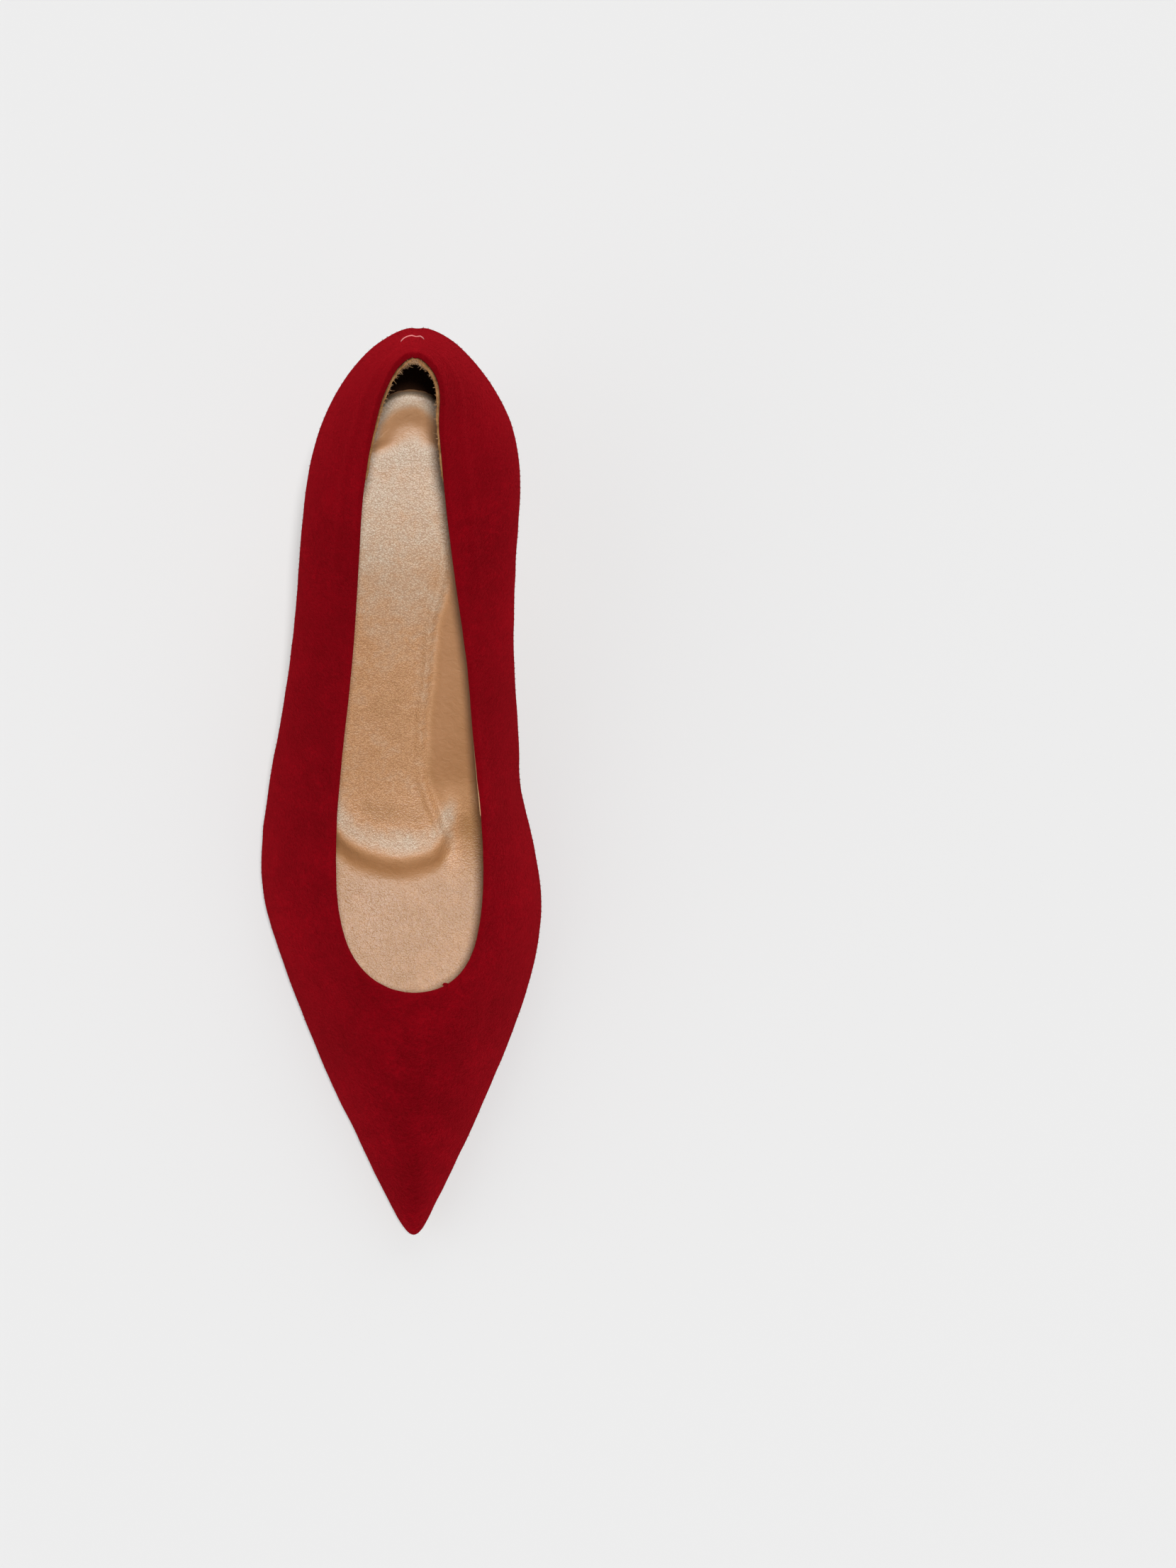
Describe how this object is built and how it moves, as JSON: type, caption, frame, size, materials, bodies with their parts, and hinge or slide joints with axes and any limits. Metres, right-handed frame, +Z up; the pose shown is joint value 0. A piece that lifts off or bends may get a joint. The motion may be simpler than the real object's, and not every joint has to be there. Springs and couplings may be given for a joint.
{
  "type": "high heel pump",
  "caption": "Right-foot pointed-toe pump with a suede upper, a metallic leather sock, a cushioned footbed and a slender covered heel.",
  "frame": {"origin": "middle of the bounding box in plan, on the ground that the shoe stands on", "axes": "+Z up, -Y towards the toe point, +Y towards the heel, -X the outer (little-toe) side of a right shoe"},
  "size_m": [0.0812, 0.2566, 0.1267],
  "materials": {
    "suede_upper": "napped suede, dark red",
    "suede_heel": "napped suede, dark red",
    "pink_thread": "waxed thread, light pink",
    "woven_tape": "woven tape",
    "puff_sheet": "impregnated felt",
    "counter_board": "pressed fibre board",
    "lining_leather": "smooth lining leather, tan",
    "rough_suede": "rough split suede, tan brown",
    "metallic_leather": "fine-grain nappa, champagne metallic",
    "foam": "open-cell foam",
    "fibre_board": "cellulose board",
    "shank_steel": "cold-rolled strip",
    "rivet_steel": "plated",
    "tube_steel": "drawn tube",
    "cork_filler": "cork and latex",
    "outsole_leather": "smooth sole leather, natural tan",
    "heel_plastic": "moulded, off-white",
    "top_piece_rubber": "hard rubber, near black"
  },
  "bodies": {
    "root": {"upper": "suede_upper", "back_seam_bar_tack": "pink_thread", "topline_tape": "woven_tape", "toe_puff": "puff_sheet", "heel_counter": "counter_board", "vamp_interlining": "woven_tape", "side_stay_outer": "woven_tape", "side_stay_inner": "woven_tape", "vamp_lining": "lining_leather", "quarter_lining_outer": "lining_leather", "quarter_lining_inner": "lining_leather", "heel_grip": "rough_suede", "sock_lining": "metallic_leather", "arch_cushion": "foam", "forefoot_foam": "foam", "insole_board": "fibre_board", "backpart_board": "fibre_board", "steel_shank": "shank_steel", "shank_rivets": "rivet_steel", "bottom_filler": "cork_filler", "outsole": "outsole_leather", "heel_block": "heel_plastic", "heel_cover": "suede_heel", "heel_tube": "tube_steel", "top_piece": "top_piece_rubber", "top_piece_pin": "rivet_steel", "heel_screw": "rivet_steel", "heel_nails": "rivet_steel"}
  },
  "joints": []
}
